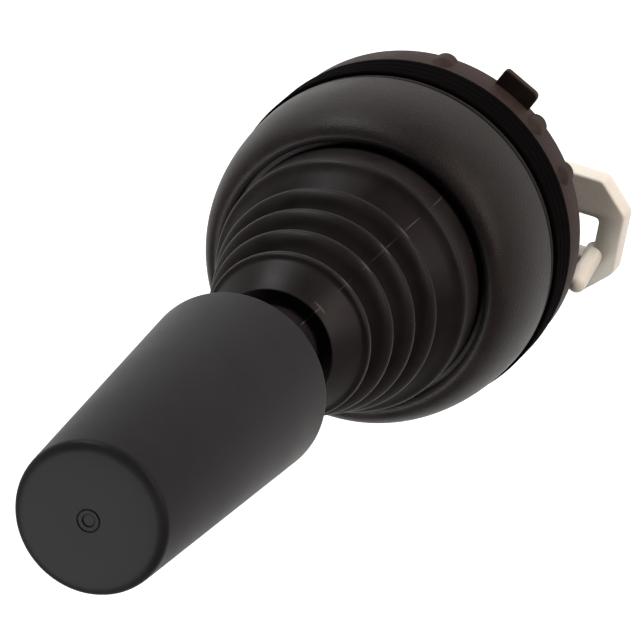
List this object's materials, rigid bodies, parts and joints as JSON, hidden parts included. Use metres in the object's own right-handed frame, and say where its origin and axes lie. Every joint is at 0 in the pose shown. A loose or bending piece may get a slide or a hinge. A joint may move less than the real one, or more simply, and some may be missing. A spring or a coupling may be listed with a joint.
{
  "type": "industrial joystick",
  "caption": "Panel-mount joystick: tapered black grip on a tilting lever, rubber bellows in a domed round bezel, gasket, lock nut, white push arms at the rear.",
  "frame": {"origin": "centre of the gasket's rear face, where the control panel sits", "axes": "+Z along the lever at rest, from the panel to the tip; +X along the right push arm; +Y towards the upper slider"},
  "size_m": [0.0332, 0.0324, 0.0875],
  "materials": {
    "bezel_plastic": "spark-eroded black moulded plastic, fine satin texture",
    "gasket_rubber": "matte black nitrile rubber",
    "housing_plastic": "black glass-filled polyamide",
    "nut_plastic": "brown-black glass-filled polyamide, dull",
    "zinc_steel": "zinc-plated pressed steel",
    "bellows_rubber": "matte black moulded silicone rubber",
    "bronze": "sintered bronze",
    "spring_steel": "drawn spring steel",
    "zinc_cast": "die-cast zinc",
    "pin_steel": "ground steel",
    "grip_plastic": "black moulded polyamide, satin",
    "brass": "knurled turned brass",
    "shaft_steel": "turned zinc-plated steel",
    "blackened_steel": "blackened steel",
    "white_acetal": "natural white acetal, satin"
  },
  "bodies": {
    "housing": {"front_bezel": "bezel_plastic", "panel_gasket": "gasket_rubber", "threaded_sleeve": "housing_plastic", "lock_nut": "nut_plastic", "gate_plate": "zinc_steel", "bellows": "bellows_rubber", "pivot_bushes": "bronze", "slider_guide": "housing_plastic", "retaining_ring": "spring_steel", "right_spring": "spring_steel", "left_spring": "spring_steel", "upper_spring": "spring_steel", "lower_spring": "spring_steel"},
    "gimbal": {"gimbal_ring": "zinc_cast", "gimbal_pins": "pin_steel"},
    "lever": {"grip": "grip_plastic", "grip_insert": "brass", "lever_shaft": "shaft_steel", "neck_washer": "blackened_steel", "pivot_hub": "zinc_cast", "hub_pins": "pin_steel", "rocker_plate": "zinc_steel", "rocker_nut": "zinc_steel"},
    "right_pusher": {"right_slider": "white_acetal", "right_push_arm": "white_acetal"},
    "left_pusher": {"left_slider": "white_acetal", "left_push_arm": "white_acetal"},
    "upper_pusher": {"upper_slider": "white_acetal"},
    "lower_pusher": {"lower_slider": "white_acetal"}
  },
  "joints": [
    {"name": "tilt_up_down", "type": "hinge", "parent": "housing", "child": "gimbal", "pos_m": [0, 0, 0.008], "axis": [1, 0, 0], "range_deg": [-15, 15], "stiffness_Nm_per_rad": 0.3, "deforming": ["bellows"]},
    {"name": "tilt_left_right", "type": "hinge", "parent": "gimbal", "child": "lever", "pos_m": [0, 0, 0.008], "axis": [0, 1, 0], "range_deg": [-15, 15], "stiffness_Nm_per_rad": 0.3, "deforming": ["bellows"]},
    {"name": "right_travel", "type": "slide", "parent": "housing", "child": "right_pusher", "axis": [0, 0, 1], "range_m": [-0.0016, 0.0016], "deforming": ["right_spring"]},
    {"name": "left_travel", "type": "slide", "parent": "housing", "child": "left_pusher", "axis": [0, 0, 1], "range_m": [-0.0016, 0.0016], "deforming": ["left_spring"]},
    {"name": "upper_travel", "type": "slide", "parent": "housing", "child": "upper_pusher", "axis": [0, 0, 1], "range_m": [-0.0016, 0.0016], "deforming": ["upper_spring"]},
    {"name": "lower_travel", "type": "slide", "parent": "housing", "child": "lower_pusher", "axis": [0, 0, 1], "range_m": [-0.0016, 0.0016], "deforming": ["lower_spring"]}
  ],
  "couplings": [
    {"joint": "right_travel", "follows": "tilt_left_right", "m_per_rad": -0.0061},
    {"joint": "left_travel", "follows": "tilt_left_right", "m_per_rad": 0.0061},
    {"joint": "upper_travel", "follows": "tilt_up_down", "m_per_rad": 0.0061},
    {"joint": "lower_travel", "follows": "tilt_up_down", "m_per_rad": -0.0061}
  ]
}
